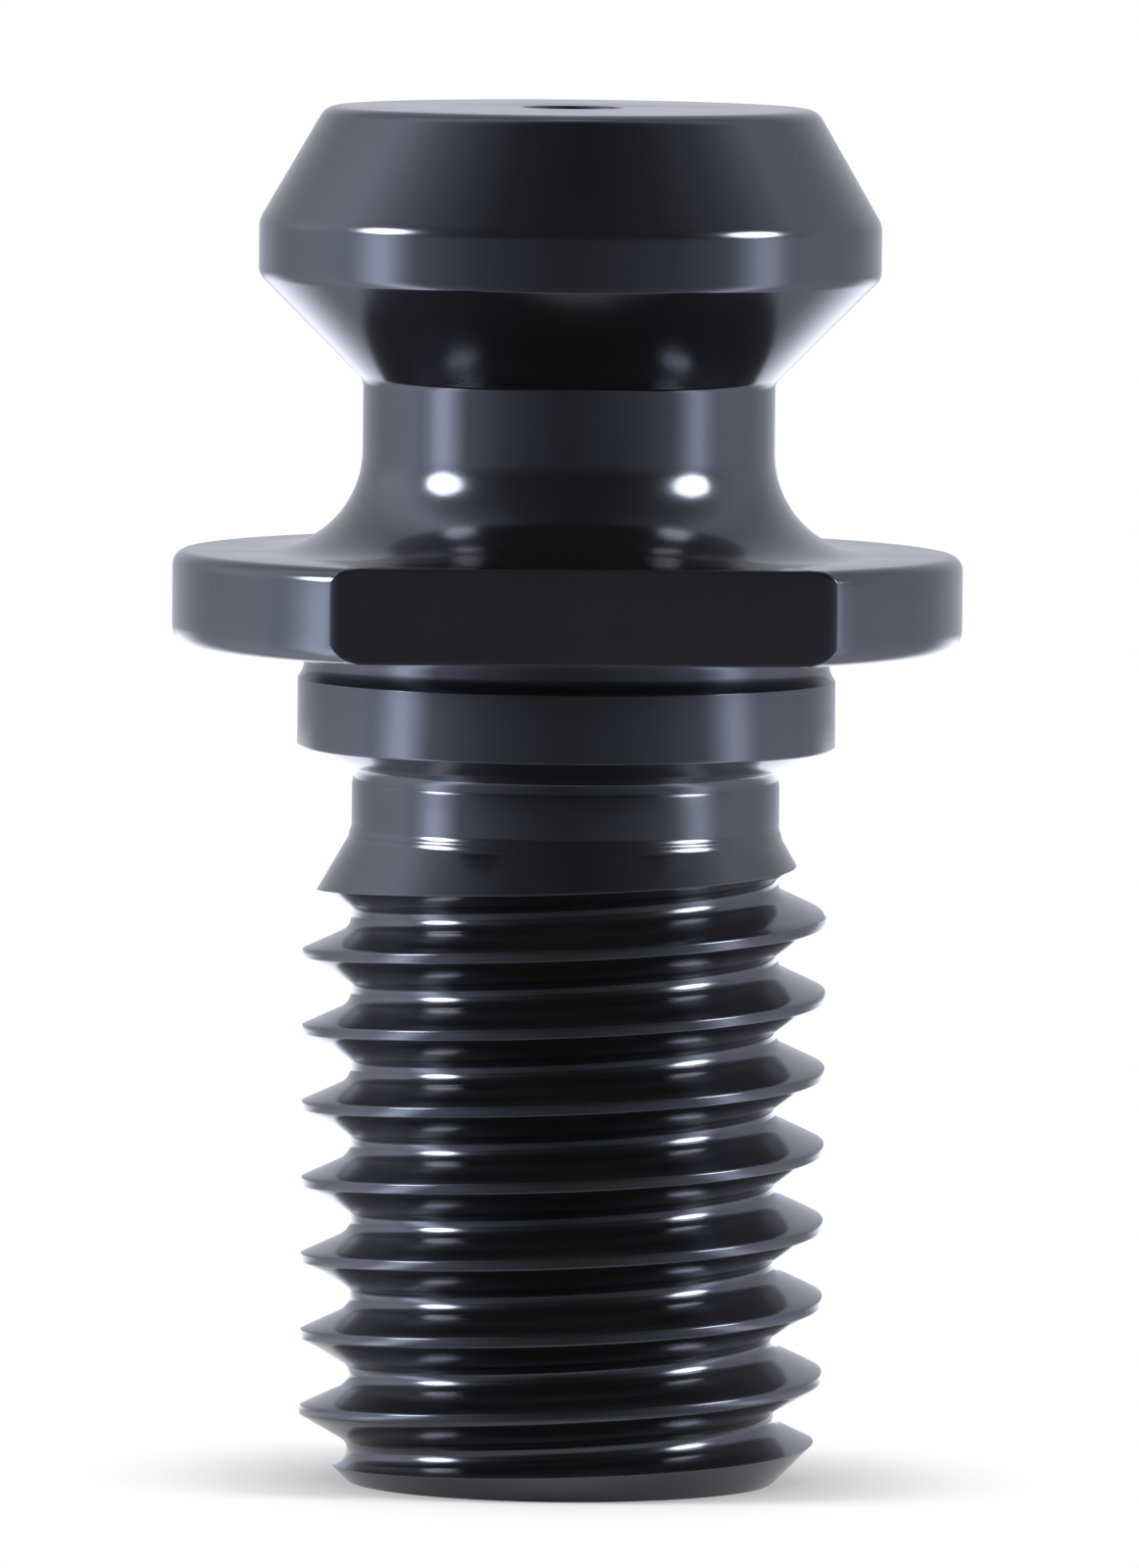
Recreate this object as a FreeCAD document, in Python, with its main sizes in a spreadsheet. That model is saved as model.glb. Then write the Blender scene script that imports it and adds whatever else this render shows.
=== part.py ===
import FreeCAD, Part
import math
import os
import Sketcher

# Pull stud (retention knob) for a size 40 steep taper tool holder, turned from one bar of steel.
# Its axis is Z, with the end face of the thread at z = 0 and the gripped head at the top.
# Lengths are in millimetres and angles in degrees. Lengths follow one another up the axis.

NODE = "pull_stud"

SIZES = [
    ("thread_diameter", 15.83, "major diameter, 5/8 inch class 2A"),
    ("thread_pitch", 2.3091, "11 threads per inch"),
    ("thread_angle", 60, "included angle of the thread groove"),
    ("crest_flat", 0.289, "flat left on the thread crest"),
    ("root_flat", 0.38, "flat at the thread root"),
    ("thread_length", 19.67, "end face to the start of the relief, lead-in cone included"),
    ("thread_lead", 0.0805, "turns by which the groove leads the +X side at the end face"),
    ("runout_drop", 1.383, "start of the run-out below the start of the relief"),
    ("runout_turns", 0.5, "turns over which the groove lifts out of the lead-in cone"),
    ("runout_angle", 28, "lift of the groove in its run-out, from the axis"),
    ("cutter_overrun", 0.1, "how far a cut reaches past the surface that it opens"),
    ("end_chamfer_angle", 45, "chamfer of the end face, from the face"),
    ("lead_in_angle", 30, "lead-in cone under the relief, from the axis"),
    ("relief_step", 0.03, "step from the thread root down to the relief"),
    ("relief_length", 2.0, "relief between the thread and the pilot cone"),
    ("pilot_diameter", 16.256, "locating diameter, 0.640 inch"),
    ("pilot_length", 2.07, "length of the locating diameter"),
    ("pilot_cone_angle", 20, "cone under the pilot, from the face"),
    ("undercut_width", 0.94, "groove between the pilot and the flange"),
    ("undercut_depth", 0.19, "depth of that groove below the pilot"),
    ("undercut_angle", 45, "side of that groove next to the pilot, from the axis"),
    ("flange_diameter", 23.876, "flange, 0.940 inch"),
    ("flange_thickness", 2.885, "flange's seat to its top face"),
    ("flange_top_chamfer", 0.3, "chamfer on the flange's upper edge"),
    ("flange_seat_chamfer", 0.5, "chamfer on the flange's lower edge"),
    ("across_flats", 18.65, "across the wrench flats"),
    ("flat_count", 2, "wrench flats round the flange"),
    ("neck_diameter", 12.446, "neck under the head, 0.490 inch"),
    ("neck_length", 5.165, "flange's top face to the foot of the gripped cone"),
    ("neck_fillet", 3.05, "fillet from the neck into the flange"),
    ("head_diameter", 18.796, "head, 0.740 inch"),
    ("grip_angle", 45, "gripped cone under the head, from the axis"),
    ("head_band_height", 1.63, "cylindrical band of the head"),
    ("band_lower_chamfer", 0.2, "chamfer between the band and the gripped cone"),
    ("band_upper_chamfer", 0.25, "chamfer between the band and the upper cone"),
    ("head_cone_height", 3.46, "height of the head's upper cone"),
    ("head_cone_angle", 30, "head's upper cone, from the axis"),
    ("head_rim_chamfer", 0.35, "chamfer on the rim of the top face"),
    ("centre_mouth", 3.1, "mouth of the centre holes"),
    ("centre_angle", 60, "included angle of the centre holes"),
    ("centre_drill", 1.5, "small drill beyond the cone of a centre hole"),
    ("centre_drill_length", 1.6, "length of that small drill"),
    ("centre_point_angle", 118, "point angle of that small drill"),
]

# Radii, heights and directions of edges in the sections, worked out from the sizes.
DERIVED = [
    ("thread_radius", "Sizes.thread_diameter / 2"),
    ("groove_opening", "thread_radius + Sizes.cutter_overrun"),
    ("groove_half_width", "(Sizes.thread_pitch - Sizes.crest_flat) / 2"),
    ("thread_depth", "(groove_half_width - Sizes.root_flat / 2) / tan(Sizes.thread_angle * 0.5 deg)"),
    ("root_radius", "thread_radius - thread_depth"),
    ("relief_radius", "root_radius - Sizes.relief_step"),
    ("flank_overrun", "Sizes.cutter_overrun * tan(Sizes.thread_angle * 0.5 deg)"),
    ("groove_opening_half", "groove_half_width + flank_overrun"),
    ("lower_flank", "-Sizes.thread_angle / 2"),
    ("upper_flank", "180 + Sizes.thread_angle / 2"),
    ("groove_start", "-(1 + Sizes.thread_lead) * Sizes.thread_pitch"),
    ("runout_height", "Sizes.thread_length - Sizes.runout_drop"),
    ("groove_rise", "runout_height - groove_start"),
    ("groove_turn", "groove_rise / Sizes.thread_pitch * 360"),
    ("runout_rise", "Sizes.runout_turns * Sizes.thread_pitch"),
    ("lead_in", "90 + Sizes.lead_in_angle"),
    ("pilot_radius", "Sizes.pilot_diameter / 2"),
    ("pilot_cone_height", "(pilot_radius - relief_radius) * tan(Sizes.pilot_cone_angle * 1 deg)"),
    ("end_chamfer_height", "(thread_radius - relief_radius) * tan(Sizes.end_chamfer_angle * 1 deg)"),
    ("lead_in_height", "(thread_radius - relief_radius) / tan(Sizes.lead_in_angle * 1 deg)"),
    ("lead_in_foot", "Sizes.thread_length - lead_in_height"),
    ("relief_top", "Sizes.thread_length + Sizes.relief_length"),
    ("pilot_foot", "relief_top + pilot_cone_height"),
    ("pilot_top", "pilot_foot + Sizes.pilot_length"),
    ("undercut_radius", "pilot_radius - Sizes.undercut_depth"),
    ("undercut_foot", "pilot_top + Sizes.undercut_depth / tan(Sizes.undercut_angle * 1 deg)"),
    ("undercut_side", "90 + Sizes.undercut_angle"),
    ("seat_height", "pilot_top + Sizes.undercut_width"),
    ("flange_radius", "Sizes.flange_diameter / 2"),
    ("flange_top", "seat_height + Sizes.flange_thickness"),
    ("flat_depth", "Sizes.across_flats / 2"),
    ("cutter_reach", "flange_radius + Sizes.cutter_overrun"),
    ("neck_radius", "Sizes.neck_diameter / 2"),
    ("grip_foot", "flange_top + Sizes.neck_length"),
    ("grip_side", "90 - Sizes.grip_angle"),
    ("head_radius", "Sizes.head_diameter / 2"),
    ("grip_top", "grip_foot + (head_radius - neck_radius) / tan(Sizes.grip_angle * 1 deg)"),
    ("band_top", "grip_top + Sizes.head_band_height"),
    ("head_cone_side", "90 + Sizes.head_cone_angle"),
    ("total_height", "band_top + Sizes.head_cone_height"),
    ("top_radius", "head_radius - Sizes.head_cone_height * tan(Sizes.head_cone_angle * 1 deg)"),
    ("mouth_radius", "Sizes.centre_mouth / 2"),
    ("drill_radius", "Sizes.centre_drill / 2"),
    ("centre_side", "90 + Sizes.centre_angle / 2"),
    ("centre_cone", "(mouth_radius - drill_radius) / tan(Sizes.centre_angle * 0.5 deg)"),
    ("drill_end", "centre_cone + Sizes.centre_drill_length"),
    ("drill_point", "90 + Sizes.centre_point_angle / 2"),
    ("centre_depth", "drill_end + drill_radius / tan(Sizes.centre_point_angle * 0.5 deg)"),
]

doc = FreeCAD.newDocument("PullStud")


def fill_sheet(name, rows):
    """A spreadsheet with one alias a row, beside its value and an optional note."""
    sheet = doc.addObject("Spreadsheet::Sheet", name)
    for number, (alias, value, *notes) in enumerate(rows, start=1):
        sheet.set(f"A{number}", alias)
        sheet.set(f"B{number}", value)
        sheet.setAlias(f"B{number}", alias)
        for note in notes:
            sheet.set(f"C{number}", note)
    doc.recompute()
    return sheet


sizes = fill_sheet("Sizes", [(alias, str(value), note) for alias, value, note in SIZES])
derived = fill_sheet("Derived", [(alias, "=" + formula) for alias, formula in DERIVED])


def value(cell):
    """The number in a cell of the sheets, named as in an expression."""
    sheet, alias = cell.split(".")
    return float(doc.getObject(sheet).get(alias))


body = doc.addObject("PartDesign::Body", "PullStud")
body.Label = NODE


def origin_feature(role):
    return next(feature for feature in body.Origin.OriginFeatures if feature.Role == role)


def point(across, up):
    return FreeCAD.Vector(across, up, 0)


# Sketcher's numbers for the two ends of an edge and for a sketch's own origin and horizontal axis.
START, END = range(1, 3)
ORIGIN = (-1, 1)
HORIZONTAL_AXIS = -1


class Outline:
    """A closed outline in a sketch on an origin plane, with its dimensions bound to the sheets.

    Edge n runs from corner n to the next. An edge in bows is an arc, given by its centre, radius
    and two angles. It is drawn anticlockwise, which is against the outline's own direction.
    It meets both its neighbours tangentially.
    """

    def __init__(self, name, plane, corners, bows=None):
        self.sketch = body.newObject("Sketcher::SketchObject", name)
        self.sketch.AttachmentSupport = [(origin_feature(plane), "")]
        self.sketch.MapMode = "FlatFace"
        bows = bows or {}
        edges = range(len(corners))
        for edge in edges:
            following = (edge + 1) % len(corners)
            if edge in bows:
                centre, radius, first_angle, last_angle = bows[edge]
                circle = Part.Circle(point(*centre), FreeCAD.Vector(0, 0, 1), radius)
                shape = Part.ArcOfCircle(circle, math.radians(first_angle), math.radians(last_angle))
            else:
                shape = Part.LineSegment(point(*corners[edge]), point(*corners[following]))
            self.sketch.addGeometry(shape, False)
        for edge in edges:
            following = (edge + 1) % len(corners)
            kind = "Tangent" if edge in bows or following in bows else "Coincident"
            last_end = START if edge in bows else END
            first_end = END if following in bows else START
            self.rule(kind, edge, last_end, following, first_end)

    def rule(self, kind, *where):
        return self.sketch.addConstraint(Sketcher.Constraint(kind, *where))

    def bind(self, name, cell, kind, *where):
        """A named dimension that takes its value from a cell of the sheets."""
        number = value(cell)
        formula = cell
        if kind == "Angle":
            number = math.radians(number)
            formula = f"{cell} * 1 deg"
        index = self.rule(kind, *where, number)
        self.sketch.renameConstraint(index, name)
        self.sketch.setExpression(f"Constraints.{name}", formula)

    def bind_radius(self, name, cell, edge):
        """The distance of an edge's first corner from the axis."""
        self.bind(name, cell, "DistanceX", *ORIGIN, edge, START)


def cut(kind, name, profile, **settings):
    """A new feature that must take metal away. Its settings are formulas of the sheets."""
    before = body.Shape.Volume
    feature = body.newObject(f"PartDesign::{kind}", name)
    feature.Profile = profile
    if kind != "Pocket":
        feature.ReferenceAxis = (profile, ["V_Axis"])
    if kind == "SubtractiveHelix":
        feature.Mode = "pitch-height-angle"
    for setting, formula in settings.items():
        feature.setExpression(setting, formula)
    doc.recompute()
    if not 0 < body.Shape.Volume < before:
        raise ValueError(f"{name} takes no metal away")
    return feature


def blank_section():
    """Half section of the stud before its chamfers, flats, thread and centre holes are cut."""
    thread, relief = value("Derived.thread_radius"), value("Derived.relief_radius")
    pilot, undercut = value("Derived.pilot_radius"), value("Derived.undercut_radius")
    flange, seat = value("Derived.flange_radius"), value("Derived.seat_height")
    neck, head = value("Derived.neck_radius"), value("Derived.head_radius")
    flange_top, fillet = value("Derived.flange_top"), value("Sizes.neck_fillet")
    thread_length, total = value("Sizes.thread_length"), value("Derived.total_height")
    (end_face, end_chamfer, thread_side, lead_in, relief_side, pilot_cone, pilot_side, undercut_side,
     undercut_floor, seat_face, flange_side, flange_face, neck_bend, neck_side, grip, head_band,
     head_cone, top_face, axis) = range(19)
    outline = Outline(
        "blank_section",
        "XZ_Plane",
        [
            (0, 0),
            (relief, 0),
            (thread, value("Derived.end_chamfer_height")),
            (thread, value("Derived.lead_in_foot")),
            (relief, thread_length),
            (relief, value("Derived.relief_top")),
            (pilot, value("Derived.pilot_foot")),
            (pilot, value("Derived.pilot_top")),
            (undercut, value("Derived.undercut_foot")),
            (undercut, seat),
            (flange, seat),
            (flange, flange_top),
            (neck + fillet, flange_top),
            (neck, flange_top + fillet),
            (neck, value("Derived.grip_foot")),
            (head, value("Derived.grip_top")),
            (head, value("Derived.band_top")),
            (value("Derived.top_radius"), total),
            (0, total),
        ],
        bows={neck_bend: ((neck + fillet, flange_top + fillet), fillet, 180, 270)},
    )
    outline.rule("Coincident", end_face, START, *ORIGIN)
    for edge in (end_face, seat_face, flange_face, top_face):
        outline.rule("Horizontal", edge)
    for edge in (thread_side, relief_side, pilot_side, undercut_floor, flange_side, neck_side,
                 head_band, axis):
        outline.rule("Vertical", edge)
    for name, edge in (
        ("thread_radius", thread_side),
        ("relief_radius", relief_side),
        ("pilot_radius", pilot_side),
        ("undercut_radius", undercut_floor),
        ("flange_radius", flange_side),
        ("neck_radius", neck_side),
        ("head_radius", head_band),
    ):
        outline.bind_radius(name, f"Derived.{name}", edge)
    outline.bind_radius("end_radius", "Derived.relief_radius", end_chamfer)
    outline.bind("end_chamfer_angle", "Sizes.end_chamfer_angle", "Angle", end_chamfer)
    outline.bind("lead_in", "Derived.lead_in", "Angle", lead_in)
    outline.bind("pilot_cone_angle", "Sizes.pilot_cone_angle", "Angle", pilot_cone)
    outline.bind("undercut_side", "Derived.undercut_side", "Angle", undercut_side)
    outline.bind("grip_side", "Derived.grip_side", "Angle", grip)
    outline.bind("head_cone_side", "Derived.head_cone_side", "Angle", head_cone)
    outline.bind("thread_length", "Sizes.thread_length", "DistanceY", *ORIGIN, relief_side, START)
    for name, first, last in (
        ("relief_length", relief_side, relief_side),
        ("pilot_length", pilot_side, pilot_side),
        ("undercut_width", undercut_side, undercut_floor),
        ("flange_thickness", flange_side, flange_side),
        ("head_band_height", head_band, head_band),
        ("head_cone_height", head_cone, head_cone),
    ):
        outline.bind(name, f"Sizes.{name}", "DistanceY", first, START, last, END)
    outline.bind("neck_length", "Sizes.neck_length", "DistanceY", flange_side, END, neck_side, END)
    outline.bind("neck_fillet", "Sizes.neck_fillet", "Radius", neck_bend)
    return outline.sketch


def turn_blank():
    """The turned bar, round the stud's axis."""
    blank = body.newObject("PartDesign::Revolution", "turned_blank")
    blank.Profile = blank_section()
    blank.ReferenceAxis = (blank.Profile[0], ["V_Axis"])
    blank.Angle = 360
    doc.recompute()


def ring(radius, height):
    """Name of the body's circular edge at a radius and height."""
    for number, edge in enumerate(body.Shape.Edges, start=1):
        curve = edge.Curve
        if isinstance(curve, Part.Circle):
            if abs(curve.Radius - radius) < 1e-4 and abs(curve.Center.z - height) < 1e-4:
                return f"Edge{number}"
    raise ValueError(f"no edge of radius {radius} at height {height}")


def chamfer_ring(name, radius, height):
    """Chamfer with the size of that name on the turned edge at a radius and height."""
    edge = ring(value(f"Derived.{radius}"), value(f"Derived.{height}"))
    base = body.Tip
    chamfer = body.newObject("PartDesign::Chamfer", name)
    chamfer.Base = (base, [edge])
    chamfer.setExpression("Size", f"Sizes.{name}")
    doc.recompute()


def chamfer_blank():
    """Every broken edge that is turned with the blank."""
    chamfer_ring("head_rim_chamfer", "top_radius", "total_height")
    chamfer_ring("band_upper_chamfer", "head_radius", "band_top")
    chamfer_ring("band_lower_chamfer", "head_radius", "grip_top")
    chamfer_ring("flange_top_chamfer", "flange_radius", "flange_top")
    chamfer_ring("flange_seat_chamfer", "flange_radius", "seat_height")


def flat_section():
    """Rectangle that a milling cutter clears outside one wrench flat, level with the flange's top."""
    reach, flat = value("Derived.cutter_reach"), value("Derived.flat_depth")
    front, right, back, left = range(4)
    outline = Outline(
        "flat_section",
        "XY_Plane",
        [(-reach, -reach), (reach, -reach), (reach, -flat), (-reach, -flat)],
    )
    for edge in (front, back):
        outline.rule("Horizontal", edge)
    for edge in (right, left):
        outline.rule("Vertical", edge)
    outline.bind("cutter_right", "Derived.cutter_reach", "DistanceX", *ORIGIN, right, START)
    outline.bind("cutter_left", "Derived.cutter_reach", "DistanceX", left, START, *ORIGIN)
    outline.bind("cutter_front", "Derived.cutter_reach", "DistanceY", front, START, *ORIGIN)
    outline.bind("flat_depth", "Derived.flat_depth", "DistanceY", back, START, *ORIGIN)
    cutter_height = "Derived.flange_top + Sizes.cutter_overrun"
    outline.sketch.setExpression(".AttachmentOffset.Base.z", cutter_height)
    return outline.sketch


def mill_flats():
    """Wrench flats through the whole thickness of the flange, evenly spaced."""
    flat = cut(
        "Pocket",
        "wrench_flat",
        flat_section(),
        Length="Sizes.flange_thickness + 2 * Sizes.cutter_overrun",
    )
    flats = body.newObject("PartDesign::PolarPattern", "wrench_flats")
    flats.Originals = [flat]
    flats.Axis = (flat.Profile[0], ["N_Axis"])
    flats.Angle = 360
    flats.setExpression("Occurrences", "Sizes.flat_count")
    body.Tip = flats
    doc.recompute()


def groove_section(name, height):
    """Section of the thread groove, level with a height on the axis."""
    root, opening = value("Derived.root_radius"), value("Derived.groove_opening")
    root_half, opening_half = value("Sizes.root_flat") / 2, value("Derived.groove_opening_half")
    lower_flank, open_side, upper_flank, root_side = range(4)
    outline = Outline(
        name,
        "XZ_Plane",
        [(root, -root_half), (opening, -opening_half), (opening, opening_half), (root, root_half)],
    )
    outline.rule("Vertical", open_side)
    outline.rule("Symmetric", root_side, START, root_side, END, HORIZONTAL_AXIS)
    outline.bind("root_flat", "Sizes.root_flat", "DistanceY", root_side, END, root_side, START)
    outline.bind_radius("root_radius", "Derived.root_radius", root_side)
    outline.bind_radius("groove_opening", "Derived.groove_opening", open_side)
    outline.bind("upper_flank", "Derived.upper_flank", "Angle", upper_flank)
    outline.bind("lower_flank", "Derived.lower_flank", "Angle", lower_flank)
    outline.sketch.setExpression(".AttachmentOffset.Base.y", f"Derived.{height}")
    return outline.sketch


def cut_thread():
    """Thread groove from below the end face to the lead-in cone, where it lifts out of the metal."""
    start = groove_section("groove_section", "groove_start")
    cut(
        "SubtractiveHelix",
        "thread_groove",
        start,
        Pitch="Sizes.thread_pitch",
        Height="Derived.groove_rise",
    )
    lift = groove_section("runout_section", "runout_height")
    lift.AttachmentOffset.Rotation = FreeCAD.Rotation(FreeCAD.Vector(0, 1, 0), 0)
    lift.setExpression(".AttachmentOffset.Rotation.Angle", "Derived.groove_turn * 1 deg")
    cut(
        "SubtractiveHelix",
        "thread_runout",
        lift,
        Pitch="Sizes.thread_pitch",
        Height="Derived.runout_rise",
        Angle="Sizes.runout_angle",
    )


def centre_section(name):
    """Half section of a centre hole that runs up the axis from the end face."""
    mouth, drill = value("Derived.mouth_radius"), value("Derived.drill_radius")
    cone, drill_end = value("Derived.centre_cone"), value("Derived.drill_end")
    depth = value("Derived.centre_depth")
    mouth_side, cone_side, drill_side, point_side, axis = range(5)
    outline = Outline(
        name,
        "XZ_Plane",
        [(0, 0), (mouth, 0), (drill, cone), (drill, drill_end), (0, depth)],
    )
    outline.rule("Coincident", mouth_side, START, *ORIGIN)
    outline.rule("Horizontal", mouth_side)
    for edge in (drill_side, axis):
        outline.rule("Vertical", edge)
    outline.bind_radius("mouth_radius", "Derived.mouth_radius", cone_side)
    outline.bind_radius("drill_radius", "Derived.drill_radius", drill_side)
    outline.bind("centre_side", "Derived.centre_side", "Angle", cone_side)
    wall = (drill_side, START, drill_side, END)
    outline.bind("drill_length", "Sizes.centre_drill_length", "DistanceY", *wall)
    outline.bind("drill_point", "Derived.drill_point", "Angle", point_side)
    return outline.sketch


def drill_centres():
    """Centre holes in both ends, which carry the stud between centres while it is turned."""
    cut("Groove", "end_centre", centre_section("end_centre_section"), Angle="360")
    upside_down = centre_section("head_centre_section")
    upside_down.AttachmentOffset = FreeCAD.Placement(
        FreeCAD.Vector(0, 0, 0), FreeCAD.Rotation(FreeCAD.Vector(0, 0, 1), 180)
    )
    upside_down.setExpression(".AttachmentOffset.Base.y", "Derived.total_height")
    cut("Groove", "head_centre", upside_down, Angle="360")


def check_model():
    """Every feature is sound and the body is one valid solid."""
    for item in doc.Objects:
        if "Invalid" in item.State or "Error" in item.State:
            raise ValueError(f"{item.Name} failed")
    if body.Shape.isNull() or not body.Shape.isValid() or len(body.Shape.Solids) != 1:
        raise ValueError("the body is not one valid solid")


turn_blank()
chamfer_blank()
mill_flats()
cut_thread()
drill_centres()
check_model()
os.makedirs("parts", exist_ok=True)
body.Shape.exportStep(f"parts/{NODE}.step")
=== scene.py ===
import math
import bmesh
import bpy
from mathutils import Matrix, Vector


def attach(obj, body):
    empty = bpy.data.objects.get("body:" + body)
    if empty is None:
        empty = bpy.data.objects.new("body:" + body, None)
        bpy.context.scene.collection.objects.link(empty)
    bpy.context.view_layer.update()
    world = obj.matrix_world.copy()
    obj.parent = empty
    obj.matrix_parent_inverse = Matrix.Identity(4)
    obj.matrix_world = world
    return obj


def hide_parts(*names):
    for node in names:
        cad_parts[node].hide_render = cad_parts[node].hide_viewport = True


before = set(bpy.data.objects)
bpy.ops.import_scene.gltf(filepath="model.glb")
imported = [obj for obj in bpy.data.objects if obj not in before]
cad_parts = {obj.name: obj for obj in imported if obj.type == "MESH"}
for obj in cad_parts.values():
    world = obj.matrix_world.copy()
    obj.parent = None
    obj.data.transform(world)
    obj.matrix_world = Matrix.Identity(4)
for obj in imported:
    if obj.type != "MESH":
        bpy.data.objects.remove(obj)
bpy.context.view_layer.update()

MM = 0.001

# Section of the stud, in millimetres: radius from the axis, height from the end face.
CREST_RADIUS = 7.915
PITCH = 2.3091
CREST_FLAT = 0.289
RELIEF_RADIUS = 6.4646
LEAD_IN_SLOPE = math.tan(math.radians(30))
LEAD_IN_TOP = 19.67
LEAD_IN_FOOT = LEAD_IN_TOP - (CREST_RADIUS - RELIEF_RADIUS) / LEAD_IN_SLOPE
# The threaded rows end here, where the rounding above the lead-in cone begins.
THREAD_TOP = 19.39
CHAMFER_TOP = CREST_RADIUS - RELIEF_RADIUS
GROOVE_START = -2.495
LAST_GROOVE = 9
RUNOUT_SLOPE = math.tan(math.radians(28))
RUNOUT_TURNS = 0.5
CLEAR_OF_METAL = 9.0
RELIEF_TOP = 21.67
PILOT_RADIUS = 8.128
PILOT_FOOT = 22.275
PILOT_TOP = 24.345
UNDERCUT_DEPTH = 0.19
SEAT = 25.285
FLANGE_RADIUS = 11.938
FLANGE_TOP = 28.17
SEAT_ROUND = 0.62
FLANGE_TOP_ROUND = 0.45
SEAT_INNER_RADIUS = 8.6
HALF_FLATS = 9.325
FLAT_END_ROUND = 0.16
BROKEN_EDGE = 0.1
NECK_RADIUS = 6.223
NECK_FILLET = 3.05
GRIP_FOOT = 33.335
HEAD_RADIUS = 9.398
GRIP_TOP = 36.51
BAND_TOP = 38.14
TOP_RADIUS = 7.400
TOTAL = 41.60
MOUTH = 1.55
DRILL = 0.75
CONE_DEPTH = (MOUTH - DRILL) / math.tan(math.radians(30))
DRILL_END = CONE_DEPTH + 1.6
POINT_END = DRILL_END + DRILL / math.tan(math.radians(59))

# The mesh: how near two heights or two vertices count as one, and the angle that stays a sharp edge.
CLOSE = 0.02
SAME_PLACE = 1.5e-6
SHARP_ANGLE = math.radians(36)
COLUMNS = 240
FLAT_END_STEP = 0.0006


def rounded(corners):
    """Points of a section line whose corners are (radius, height, rounding, steps)."""
    points = []
    for index, (r, z, rounding, steps) in enumerate(corners):
        if not rounding:
            points.append((r, z))
            continue
        here = Vector((r, z))
        back = (Vector(corners[index - 1][:2]) - here).normalized()
        ahead = (Vector(corners[index + 1][:2]) - here).normalized()
        half = back.angle(ahead) / 2
        centre = here + (back + ahead).normalized() * (rounding / math.sin(half))
        first = here + back * (rounding / math.tan(half)) - centre
        last = here + ahead * (rounding / math.tan(half)) - centre
        turn = first.angle_signed(last)
        for step in range(steps + 1):
            arm = Matrix.Rotation(-turn * step / steps, 2) @ first
            points.append(tuple(centre + arm))
    return points


# The groove's flanks lean unequally, and its bottom slopes between two rounds.
HALF_GROOVE = (PITCH - CREST_FLAT) / 2
UPWARD_FLANK = math.tan(math.radians(24.7))
DOWNWARD_FLANK = math.tan(math.radians(30))
ROOT_LOW = 6.49
ROOT_HIGH = 6.43
ROOT_LOW_ROUND = 0.45
ROOT_HIGH_ROUND = 0.35
CREST_EDGE = 0.07
FLANK_PART = 0.3


def thread_pitch():
    """One groove as (radius, height from its middle), without the middle of the crest above."""
    low = -HALF_GROOVE + (CREST_RADIUS - ROOT_LOW) * UPWARD_FLANK
    high = HALF_GROOVE - (CREST_RADIUS - ROOT_HIGH) * DOWNWARD_FLANK
    points = rounded([
        (CREST_RADIUS, -PITCH / 2, 0, 0),
        (CREST_RADIUS, -HALF_GROOVE, CREST_EDGE, 2),
        (ROOT_LOW, low, ROOT_LOW_ROUND, 5),
        (ROOT_HIGH, high, ROOT_HIGH_ROUND, 4),
        (CREST_RADIUS, HALF_GROOVE, CREST_EDGE, 2),
        (CREST_RADIUS, PITCH / 2, 0, 0),
    ])
    # The long straight flanks are split, so that the blank's cones cut them cleanly.
    split = []
    for here, there in zip(points, points[1:]):
        parts = max(1, round(abs(there[0] - here[0]) / FLANK_PART))
        split += [
            tuple(a + (b - a) * step / parts for a, b in zip(here, there)) for step in range(parts)
        ]
    return split


GROOVE = thread_pitch()


def bar_radius(z):
    """Radius of the bar that the thread is cut in, with its two cones."""
    if z < CHAMFER_TOP:
        return RELIEF_RADIUS + z
    if z > LEAD_IN_FOOT:
        return CREST_RADIUS - (z - LEAD_IN_FOOT) * LEAD_IN_SLOPE
    return CREST_RADIUS


def groove_lift(number, turn):
    """How far the groove has risen out of the metal at a part of a turn."""
    if number < LAST_GROOVE:
        return 0.0
    return PITCH * turn * RUNOUT_SLOPE if turn <= RUNOUT_TURNS else CLEAR_OF_METAL


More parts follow.
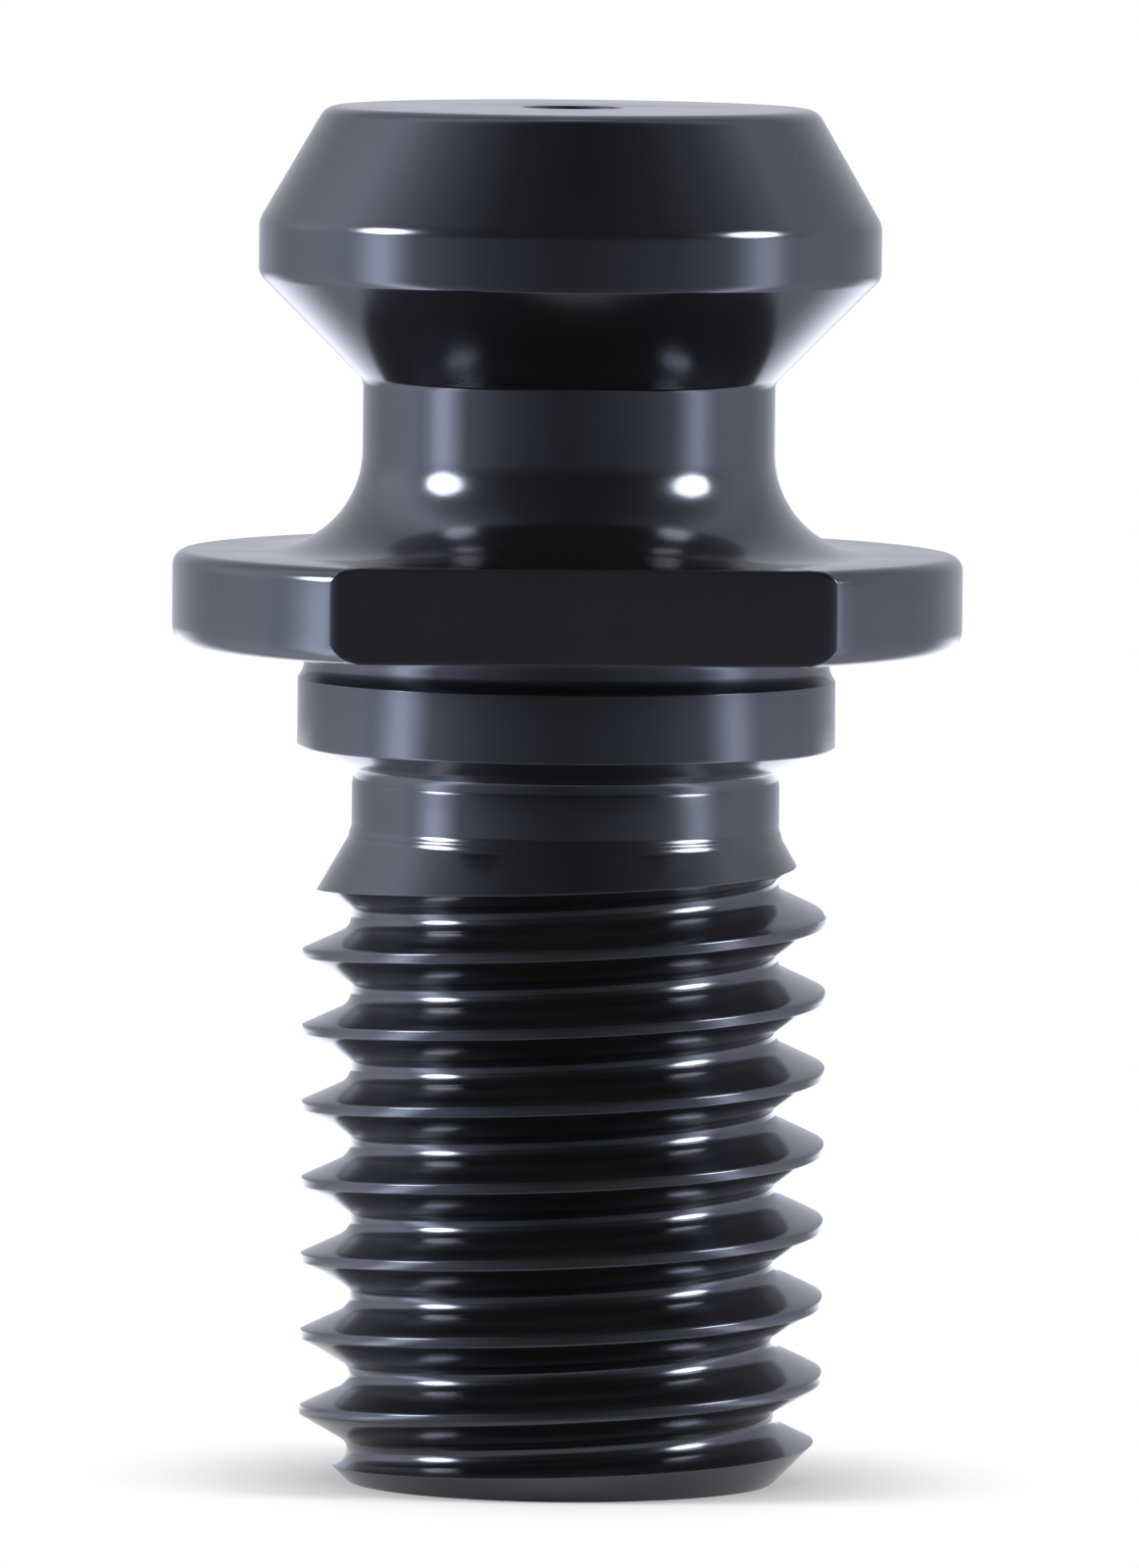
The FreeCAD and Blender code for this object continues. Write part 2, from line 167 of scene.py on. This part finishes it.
def thread_rows(turn):
    """Section of the threaded end at a part of a turn, and the set of its corner points.

    The groove's rows keep their order round the whole turn. Where a flank crosses one of the bar's
    cones, the nearest row moves onto the crossing, so that the edge there is clean.
    """
    rows = []
    for number in range(LAST_GROOVE + 1):
        middle = GROOVE_START + PITCH * (number + turn)
        lift = groove_lift(number, turn)
        rows += [[r + lift, middle + z] for r, z in GROOVE]
    rows.append([CREST_RADIUS, middle + PITCH / 2])
    corners = {}

    def snap(z):
        free = [j for j in range(len(rows)) if j not in corners]
        near = min(free, key=lambda j: abs(rows[j][1] - z))
        corners[near] = z

    gaps = [r - bar_radius(min(max(z, 0.0), THREAD_TOP)) for r, z in rows]
    for j in range(len(rows) - 1):
        if (gaps[j] > 0) != (gaps[j + 1] > 0) and 0 < rows[j + 1][1] and rows[j][1] < THREAD_TOP:
            (r0, z0), (r1, z1) = rows[j], rows[j + 1]
            low, high = 0.0, 1.0
            for _ in range(40):
                share = (low + high) / 2
                gap = r0 + (r1 - r0) * share - bar_radius(z0 + (z1 - z0) * share)
                if (gap > 0) == (gaps[j] > 0):
                    low = share
                else:
                    high = share
            z = z0 + (z1 - z0) * low
            if 0 < z < THREAD_TOP:
                snap(z)
    for z in (CHAMFER_TOP, LEAD_IN_FOOT):
        near = min(range(len(rows)), key=lambda j: abs(rows[j][1] - z))
        if rows[near][0] > CREST_RADIUS - CLOSE:
            snap(z)
    points = []
    for j, (r, z) in enumerate(rows):
        if j in corners:
            z = corners[j]
            points.append((bar_radius(z), z))
        elif z < CLOSE:
            points.append((RELIEF_RADIUS, 0.0))
        elif z > THREAD_TOP - CLOSE:
            points.append((bar_radius(THREAD_TOP), THREAD_TOP))
        else:
            points.append((min(r, bar_radius(z)), z))
    return points, set(corners)


def smooth_least(a, b, width):
    """The smaller of two lengths, with the corner between them rounded."""
    blend = max(width - abs(a - b), 0.0) / width
    return min(a, b) - blend * blend * width / 4


def flat_radius(angle):
    """Radius of the flange at an angle, cut back by the wrench flats."""
    across = abs(math.sin(angle))
    if across < 0.3:
        return FLANGE_RADIUS
    return smooth_least(FLANGE_RADIUS, HALF_FLATS / across, FLAT_END_ROUND)


def flange_edge(limit, rounding, face, inward, steps):
    """From a face of the flange to its side, over the turned round and the flat's broken edge."""
    points = []
    turned = FLANGE_RADIUS - rounding
    reach = min(max((limit - turned) / rounding, 0.0), 1.0)
    end_angle = math.asin(reach)
    cut = 1.0 - reach
    for step in range(steps + 1):
        angle = end_angle * step / steps
        r = min(turned, limit) + rounding * math.sin(angle)
        z = face + inward * rounding * (1 - math.cos(angle))
        points.append((r, z))
    if cut > 1e-6:
        size = min(BROKEN_EDGE, BROKEN_EDGE * cut * 6)
        corner = Vector(points[-1])
        back = Vector((-math.cos(end_angle), -inward * math.sin(end_angle)))
        ahead = Vector((0.0, inward * 1.0))
        start = corner + back * size
        finish = corner + ahead * size
        kept = []
        for r, z in points:
            along = (Vector((r, z)) - start).dot(-back)
            kept.append((r, z) if along <= 0 else tuple(start))
        points = kept
        for step in range(1, 4):
            share = step / 4
            bow = start * (1 - share) ** 2 + corner * (2 * share * (1 - share)) + finish * share ** 2
            points.append(tuple(bow))
        points.append(tuple(finish))
    else:
        points += [points[-1]] * 4
    return points


def flange_rows(angle):
    limit = flat_radius(angle)
    lower = flange_edge(limit, SEAT_ROUND, SEAT, 1, 6)
    upper = flange_edge(limit, FLANGE_TOP_ROUND, FLANGE_TOP, -1, 5)
    side = [(limit, SEAT + (FLANGE_TOP - SEAT) * share) for share in (0.35, 0.5, 0.65)]
    return [(SEAT_INNER_RADIUS, SEAT)] + lower + side + upper[::-1]


def neck_rows():
    """Fillet from the flange up into the neck."""
    points = []
    for step in range(25):
        angle = math.radians(90 * step / 24)
        points.append((
            NECK_RADIUS + NECK_FILLET * (1 - math.sin(angle)),
            FLANGE_TOP + NECK_FILLET * (1 - math.cos(angle)),
        ))
    return points


def undercut_rows():
    half = (SEAT - PILOT_TOP) / 2
    radius = (half * half + UNDERCUT_DEPTH ** 2) / (2 * UNDERCUT_DEPTH)
    span = math.asin(half / radius)
    points = []
    for step in range(9):
        angle = span * (step / 4 - 1)
        points.append((
            PILOT_RADIUS - UNDERCUT_DEPTH + radius * (1 - math.cos(angle)),
            (SEAT + PILOT_TOP) / 2 + radius * math.sin(angle),
        ))
    return points


END_HOLE = rounded([
    (0.0, POINT_END, 0, 0),
    (DRILL, DRILL_END, 0, 0),
    (DRILL, CONE_DEPTH, 0, 0),
    (MOUTH, 0.0, 0.08, 3),
    (RELIEF_RADIUS, 0.0, 0, 0),
])
# Above the lead-in cone the tool left a soft ridge between two small fillets. Below the pilot its nose
# went a little under the relief.
LOW_FILLET, RIDGE, HIGH_FILLET = 19.52, 19.68, 19.83
MIDDLE = rounded([
    (bar_radius(THREAD_TOP), THREAD_TOP, 0, 0),
    (bar_radius(LOW_FILLET), LOW_FILLET, 0.5, 5),
    (RELIEF_RADIUS + 0.066, RIDGE, 0.22, 3),
    (RELIEF_RADIUS, HIGH_FILLET, 0.5, 5),
    (RELIEF_RADIUS, RELIEF_TOP - 0.54, 0, 0),
    (RELIEF_RADIUS - 0.106, RELIEF_TOP - 0.113, 0.43, 9),
    (PILOT_RADIUS, PILOT_FOOT, 0.12, 4),
    (PILOT_RADIUS, PILOT_TOP, 0.08, 3),
    (PILOT_RADIUS - 0.2, PILOT_TOP + 0.15, 0, 0),
])[1:-1]
HEAD = rounded([
    (NECK_RADIUS, FLANGE_TOP + NECK_FILLET, 0, 0),
    (NECK_RADIUS, GRIP_FOOT, 0.4, 5),
    (HEAD_RADIUS, GRIP_TOP, 0.5, 6),
    (HEAD_RADIUS, BAND_TOP, 0.8, 6),
    (TOP_RADIUS, TOTAL, 0.6, 8),
    (MOUTH, TOTAL, 0.08, 3),
    (DRILL, TOTAL - CONE_DEPTH, 0, 0),
    (DRILL, TOTAL - DRILL_END, 0, 0),
    (0.0, TOTAL - POINT_END, 0, 0),
])[1:]

# Columns round the axis, with more of them where a flat meets the flange's round side.
TURNS = {step / COLUMNS for step in range(COLUMNS + 1)}
FLAT_END = math.asin(HALF_FLATS / FLANGE_RADIUS) / math.tau
for end in (FLAT_END, 0.5 - FLAT_END, 0.5 + FLAT_END, 1 - FLAT_END):
    TURNS |= {end + step * FLAT_END_STEP for step in range(-4, 5)}
TURNS = sorted(TURNS)


def section(turn):
    thread, corners = thread_rows(turn)
    before = len(END_HOLE)
    rows = END_HOLE + thread + MIDDLE + undercut_rows()[1:] + flange_rows(turn * math.tau)
    rows += neck_rows() + HEAD
    return rows, {before + j for j in corners}


def build_stud():
    """The whole stud as one closed mesh, with true rounds and the thread's rounded roots."""
    columns = [section(turn) for turn in TURNS]
    mesh = bmesh.new()
    grid = []
    for turn, (rows, corners) in zip(TURNS, columns):
        angle = turn * math.tau
        side, ahead = math.cos(angle), math.sin(angle)
        grid.append([mesh.verts.new((r * side * MM, r * ahead * MM, z * MM)) for r, z in rows])
    sharp = []
    for left in range(len(grid) - 1):
        here, there = grid[left], grid[left + 1]
        marked, next_marked = columns[left][1], columns[left + 1][1]
        for j in range(len(here) - 1):
            low, high = j, j + 1
            quad = (here[low], there[low], there[high], here[high])
            if low in marked and high in next_marked:
                mesh.faces.new((quad[0], quad[1], quad[2]))
                mesh.faces.new((quad[0], quad[2], quad[3]))
                sharp.append((quad[0], quad[2]))
            elif high in marked and low in next_marked:
                mesh.faces.new((quad[0], quad[1], quad[3]))
                mesh.faces.new((quad[1], quad[2], quad[3]))
                sharp.append((quad[1], quad[3]))
            else:
                mesh.faces.new(quad)
            if low in marked and low in next_marked:
                sharp.append((quad[0], quad[1]))
    for first, second in sharp:
        edge = mesh.edges.get((first, second))
        edge.smooth = False
    bmesh.ops.remove_doubles(mesh, verts=mesh.verts, dist=SAME_PLACE)
    bmesh.ops.dissolve_degenerate(mesh, dist=1e-7, edges=mesh.edges)
    for face in mesh.faces:
        face.smooth = True
    for edge in mesh.edges:
        if len(edge.link_faces) == 2 and edge.calc_face_angle() > SHARP_ANGLE:
            edge.smooth = False
    data = bpy.data.meshes.new("stud_surface")
    mesh.to_mesh(data)
    mesh.free()
    stud = bpy.data.objects.new("stud_surface", data)
    bpy.context.scene.collection.objects.link(stud)
    return stud


stud = build_stud()


def smooth_range(nodes, links, source, start, end):
    """0 to 1 between two values of the source."""
    node = nodes.new("ShaderNodeMapRange")
    node.interpolation_type = "SMOOTHSTEP"
    node.inputs["From Min"].default_value = start
    node.inputs["From Max"].default_value = end
    links.new(source, node.inputs["Value"])
    return node.outputs["Result"]


def math_node(nodes, links, operation, *operands):
    node = nodes.new("ShaderNodeMath")
    node.operation = operation
    for socket, operand in zip(node.inputs, operands):
        if isinstance(operand, float):
            socket.default_value = operand
        else:
            links.new(operand, socket)
    return node.outputs[0]


def value_ramp(nodes, links, source, stops):
    """A curve of brightness through (position, value) stops."""
    ramp = nodes.new("ShaderNodeValToRGB")
    ramp.color_ramp.interpolation = "CARDINAL"
    elements = ramp.color_ramp.elements
    while len(elements) > 1:
        elements.remove(elements[-1])
    for index, (position, value) in enumerate(stops):
        element = elements[0] if index == 0 else elements.new(position)
        element.position = position
        element.color = (value, value, value, 1)
    links.new(source, ramp.inputs["Fac"])
    return ramp.outputs["Color"]


def steel():
    """Gloss blue-black oxide on ground steel."""
    material = bpy.data.materials.new("black_oxide_steel")
    material.use_nodes = True
    nodes, links = material.node_tree.nodes, material.node_tree.links
    shader = nodes["Principled BSDF"]
    shader.inputs["Metallic"].default_value = 0.0
    place = nodes.new("ShaderNodeTexCoord")
    # The oxide's depth varies in soft patches, and with it the gloss.
    patches = nodes.new("ShaderNodeTexNoise")
    patches.inputs["Scale"].default_value = 260
    patches.inputs["Detail"].default_value = 5
    links.new(place.outputs["Object"], patches.inputs["Vector"])
    shade = nodes.new("ShaderNodeMix")
    shade.data_type = "RGBA"
    shade.inputs["A"].default_value = (0.0030, 0.0031, 0.0037, 1)
    shade.inputs["B"].default_value = (0.0056, 0.0053, 0.0058, 1)
    links.new(patches.outputs["Fac"], shade.inputs["Factor"])
    gloss = nodes.new("ShaderNodeMapRange")
    gloss.inputs["From Min"].default_value = 0.3
    gloss.inputs["From Max"].default_value = 0.7
    gloss.inputs["To Min"].default_value = 0.135
    gloss.inputs["To Max"].default_value = 0.185
    links.new(patches.outputs["Fac"], gloss.inputs["Value"])
    # Edges are worn a little lighter and duller.
    bevel = nodes.new("ShaderNodeBevel")
    bevel.samples = 4
    bevel.inputs["Radius"].default_value = 0.00012
    faced = nodes.new("ShaderNodeNewGeometry")
    spread = nodes.new("ShaderNodeVectorMath")
    spread.operation = "DOT_PRODUCT"
    links.new(bevel.outputs["Normal"], spread.inputs[0])
    links.new(faced.outputs["Normal"], spread.inputs[1])
    worn = smooth_range(nodes, links, spread.outputs["Value"], 0.995, 0.90)
    worn = math_node(nodes, links, "MULTIPLY", worn, 0.5)
    bare = nodes.new("ShaderNodeMix")
    bare.data_type = "RGBA"
    bare.inputs["B"].default_value = (0.045, 0.045, 0.048, 1)
    links.new(worn, bare.inputs["Factor"])
    links.new(shade.outputs["Result"], bare.inputs["A"])
    links.new(bare.outputs["Result"], shader.inputs["Base Color"])
    dulled = math_node(nodes, links, "MULTIPLY_ADD", worn, 0.15, gloss.outputs["Result"])
    links.new(dulled, shader.inputs["Roughness"])
    # Fine turning marks run round the axis.
    stretch = nodes.new("ShaderNodeMapping")
    stretch.inputs["Scale"].default_value = (60, 60, 9000)
    links.new(place.outputs["Object"], stretch.inputs["Vector"])
    marks = nodes.new("ShaderNodeTexNoise")
    marks.inputs["Scale"].default_value = 1
    marks.inputs["Detail"].default_value = 3
    links.new(stretch.outputs["Vector"], marks.inputs["Vector"])
    bump = nodes.new("ShaderNodeBump")
    bump.inputs["Strength"].default_value = 0.06
    bump.inputs["Distance"].default_value = 0.00002
    links.new(marks.outputs["Fac"], bump.inputs["Height"])
    links.new(bump.outputs["Normal"], shader.inputs["Normal"])
    shader.inputs["IOR"].default_value = 1.62
    shader.inputs["Specular Tint"].default_value = (0.74, 0.81, 1.0, 1)
    return material


stud.data.materials.append(steel())
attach(stud, "root")
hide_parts("pull_stud")

# The camera looks along +Y, turned this far about the stud's axis. Lamps and tent are set square to it.
CAMERA_TURN = math.radians(-3.2)


def camera():
    """Long lens a little above the flange."""
    distance, height, pitch, roll = 576.53, 61.1226, math.radians(3.9674), math.radians(0.5251)
    data = bpy.data.cameras.new("camera")
    data.sensor_width = 36
    data.lens = 19500.46 / 1600 * 36
    data.shift_x = 3.9337 / 1600
    data.clip_start = 0.01
    data.clip_end = 20
    item = bpy.data.objects.new("camera", data)
    place = Matrix.Rotation(CAMERA_TURN, 4, "Z") @ Matrix.Translation(Vector((0, -distance, height)) * MM)
    aim = Matrix.Rotation(math.radians(90) - pitch, 4, "X")
    item.matrix_world = place @ aim @ Matrix.Rotation(roll, 4, "Z")
    bpy.context.scene.collection.objects.link(item)
    bpy.context.scene.camera = item


camera()


def mesh_object(name, points, faces):
    data = bpy.data.meshes.new(name)
    data.from_pydata(points, [], faces)
    item = bpy.data.objects.new(name, data)
    bpy.context.scene.collection.objects.link(item)
    return item


def background_strength(nodes, links):
    """1 for the rays that show the background: the camera's, and those that gloss or glass sends on."""
    path = nodes.new("ShaderNodeLightPath")
    shown = path.outputs["Is Camera Ray"]
    for ray in ("Is Glossy Ray", "Is Transmission Ray"):
        most = nodes.new("ShaderNodeMath")
        most.operation = "MAXIMUM"
        links.new(shown, most.inputs[0])
        links.new(path.outputs[ray], most.inputs[1])
        shown = most.outputs[0]
    return shown


def floor():
    """Pale floor that keeps the stud's shadow and goes over into the white background."""
    size = 3.0
    item = mesh_object(
        "floor",
        [(-size, -size, 0), (size, -size, 0), (size, size, 0), (-size, size, 0)],
        [(0, 1, 2, 3)],
    )
    material = bpy.data.materials.new("paper")
    material.use_nodes = True
    nodes, links = material.node_tree.nodes, material.node_tree.links
    paper = nodes["Principled BSDF"]
    paper.inputs["Base Color"].default_value = (0.85, 0.85, 0.86, 1)
    paper.inputs["Roughness"].default_value = 0.9
    white = nodes.new("ShaderNodeEmission")
    place = nodes.new("ShaderNodeTexCoord")
    away = nodes.new("ShaderNodeVectorMath")
    away.operation = "LENGTH"
    links.new(place.outputs["Object"], away.inputs[0])
    spread = nodes.new("ShaderNodeMapRange")
    spread.interpolation_type = "SMOOTHSTEP"
    spread.inputs["From Min"].default_value = 0.0075
    spread.inputs["From Max"].default_value = 0.0150
    links.new(away.outputs["Value"], spread.inputs["Value"])
    share = nodes.new("ShaderNodeMath")
    share.operation = "MULTIPLY"
    links.new(spread.outputs["Result"], share.inputs[0])
    links.new(background_strength(nodes, links), share.inputs[1])
    mix = nodes.new("ShaderNodeMixShader")
    links.new(share.outputs[0], mix.inputs["Fac"])
    links.new(paper.outputs["BSDF"], mix.inputs[1])
    links.new(white.outputs["Emission"], mix.inputs[2])
    links.new(mix.outputs["Shader"], nodes["Material Output"].inputs["Surface"])
    item.data.materials.append(material)
    return item


# Brightness of the tent's painted glow by direction round the stud, in degrees from the camera's side, with
# brighter bands to either side and a dimmer glow towards the camera.
TENT_LOW = [
    (-180, 0.88), (-145, 0.88), (-128, 1.02), (-116, 1.46), (-106, 1.82), (-97, 2.16), (-89, 2.18),
    (-82, 3.9), (-76, 6.3), (-69, 4.9), (-61, 1.60), (-53, 1.20), (-41, 0.76), (-29, 0.50), (-11, 0.33),
    (0, 0.27), (11, 0.33), (29, 0.43), (41, 0.59), (53, 0.88), (61, 1.15), (69, 2.8), (76, 4.6), (82, 3.3),
    (89, 1.83), (97, 1.61), (106, 1.43), (116, 1.12), (128, 0.89), (145, 0.86), (180, 0.88),
]
TENT_HIGH = [
    (-180, 0.88), (-144, 0.88), (-130, 1.22), (-121, 1.65), (-114, 1.93), (-107, 2.2), (-100, 2.19),
    (-93, 1.83), (-79, 1.15), (-64, 0.73), (-43, 0.30), (0, 0.10), (43, 0.18), (64, 0.38), (79, 0.59),
    (93, 0.99), (100, 1.26), (107, 1.31), (114, 1.21), (130, 0.89), (144, 0.88), (180, 0.88),
]


def tent():
    """Glowing shell seen only in the stud's gloss, a painted reflection of its surroundings: bright side
    panels, a dimmer camera side and a bright floor behind the stud.
    """
    section = [(0.0095, 0.0008), (0.75, 0.0008), (0.8, 0.1), (0.8, 0.7), (0.5, 0.95), (0.02, 1.0)]
    steps = 72
    points = []
    for step in range(steps):
        around = math.tau * step / steps
        points += [(r * math.sin(around), -r * math.cos(around), z) for r, z in section]
    count = len(section)
    faces = []
    for step in range(steps):
        here, there = step * count, (step + 1) % steps * count
        faces += [(here + j, there + j, there + j + 1, here + j + 1) for j in range(count - 1)]
    item = mesh_object("tent", points, faces)
    item.rotation_euler.z = CAMERA_TURN
    item.visible_camera = False
    item.visible_diffuse = False
    item.visible_shadow = False
    item.visible_transmission = False
    material = bpy.data.materials.new("tent_painted_glow")
    material.use_nodes = True
    nodes, links = material.node_tree.nodes, material.node_tree.links
    nodes.remove(nodes["Principled BSDF"])
    place = nodes.new("ShaderNodeTexCoord")
    parts = nodes.new("ShaderNodeSeparateXYZ")
    links.new(place.outputs["Object"], parts.inputs["Vector"])
    across, along, height = parts.outputs["X"], parts.outputs["Y"], parts.outputs["Z"]
    ahead = math_node(nodes, links, "MULTIPLY", along, -1.0)
    turn = math_node(nodes, links, "ARCTAN2", across, ahead)
    share = math_node(nodes, links, "MULTIPLY_ADD", turn, 1 / math.tau, 0.5)
    away = math_node(nodes, links, "SQRT", math_node(
        nodes, links, "ADD",
        math_node(nodes, links, "POWER", across, 2.0), math_node(nodes, links, "POWER", along, 2.0),
    ))
    top = 8.0
    low, high = [
        value_ramp(nodes, links, share, [((a + 180) / 360, v / top) for a, v in stops])
        for stops in (TENT_LOW, TENT_HIGH)
    ]
    blend = nodes.new("ShaderNodeMix")
    blend.data_type = "RGBA"
    links.new(smooth_range(nodes, links, height, 0.02, 0.22), blend.inputs["Factor"])
    links.new(low, blend.inputs["A"])
    links.new(high, blend.inputs["B"])
    tint = nodes.new("ShaderNodeMix")
    tint.data_type = "RGBA"
    tint.blend_type = "MULTIPLY"
    tint.inputs["Factor"].default_value = 1.0
    tint.inputs["B"].default_value = (0.85, 0.88, 1.0, 1)
    links.new(blend.outputs["Result"], tint.inputs["A"])
    # A painted pool of light: close behind the stud the tent's floor glows brightest, the brightest part of
    # the background in reflections.
    off_axis = math_node(nodes, links, "ABSOLUTE", turn)
    behind = smooth_range(nodes, links, off_axis, math.radians(130), math.radians(155))
    close = smooth_range(nodes, links, away, 0.30, 0.11)
    painted_pool = math_node(nodes, links, "MULTIPLY", behind, close)
    # The tent glows and is no lamp: its colour is painted light, seen only in reflections.
    panel_glow = nodes.new("ShaderNodeEmission")
    links.new(tint.outputs["Result"], panel_glow.inputs["Color"])
    links.new(math_node(nodes, links, "MULTIPLY_ADD", painted_pool, 1.9 * top, top), panel_glow.inputs["Strength"])
    # It thins out to nothing close round the stud's foot.
    cover = smooth_range(nodes, links, away, 0.010, 0.020)
    open_part = nodes.new("ShaderNodeBsdfTransparent")
    mix = nodes.new("ShaderNodeMixShader")
    links.new(cover, mix.inputs["Fac"])
    links.new(open_part.outputs["BSDF"], mix.inputs[1])
    links.new(panel_glow.outputs["Emission"], mix.inputs[2])
    links.new(mix.outputs["Shader"], nodes["Material Output"].inputs["Surface"])
    item.data.materials.append(material)
    return item


floor()
tent()


def strip_lamp(name, azimuth, elevation, width, height, radiance):
    """Lamp that faces the stud, given by its direction and its size in degrees as the stud sees it."""
    distance = 0.62
    data = bpy.data.lights.new(name, "AREA")
    data.shape = "ELLIPSE"
    data.size = 2 * distance * math.tan(math.radians(width / 2))
    data.size_y = 2 * distance * math.tan(math.radians(height / 2))
    data.energy = radiance * math.pi * data.size * data.size_y * math.pi / 4
    item = bpy.data.objects.new(name, data)
    around, up = math.radians(azimuth) + CAMERA_TURN, math.radians(elevation)
    toward = Vector((math.sin(around) * math.cos(up), -math.cos(around) * math.cos(up), math.sin(up)))
    target = Vector((0, 0, 0.025))
    item.location = target + toward * distance
    item.rotation_euler = toward.to_track_quat("Z", "Y").to_euler()
    bpy.context.scene.collection.objects.link(item)


strip_lamp("left_lamp", -75, 20, 22, 20, 28)
strip_lamp("right_lamp", 74, 20, 22, 20, 28)


def studio():
    """White background, with less of it in the light that falls on the stud and the floor."""
    world = bpy.data.worlds.new("studio")
    world.use_nodes = True
    nodes, links = world.node_tree.nodes, world.node_tree.links
    shown = background_strength(nodes, links)
    strength = math_node(nodes, links, "MULTIPLY_ADD", shown, 0.4, 0.6)
    links.new(strength, nodes["Background"].inputs["Strength"])
    nodes["Background"].inputs["Color"].default_value = (1, 1, 1, 1)
    bpy.context.scene.world = world


studio()
bpy.context.scene.view_settings.view_transform = "Standard"
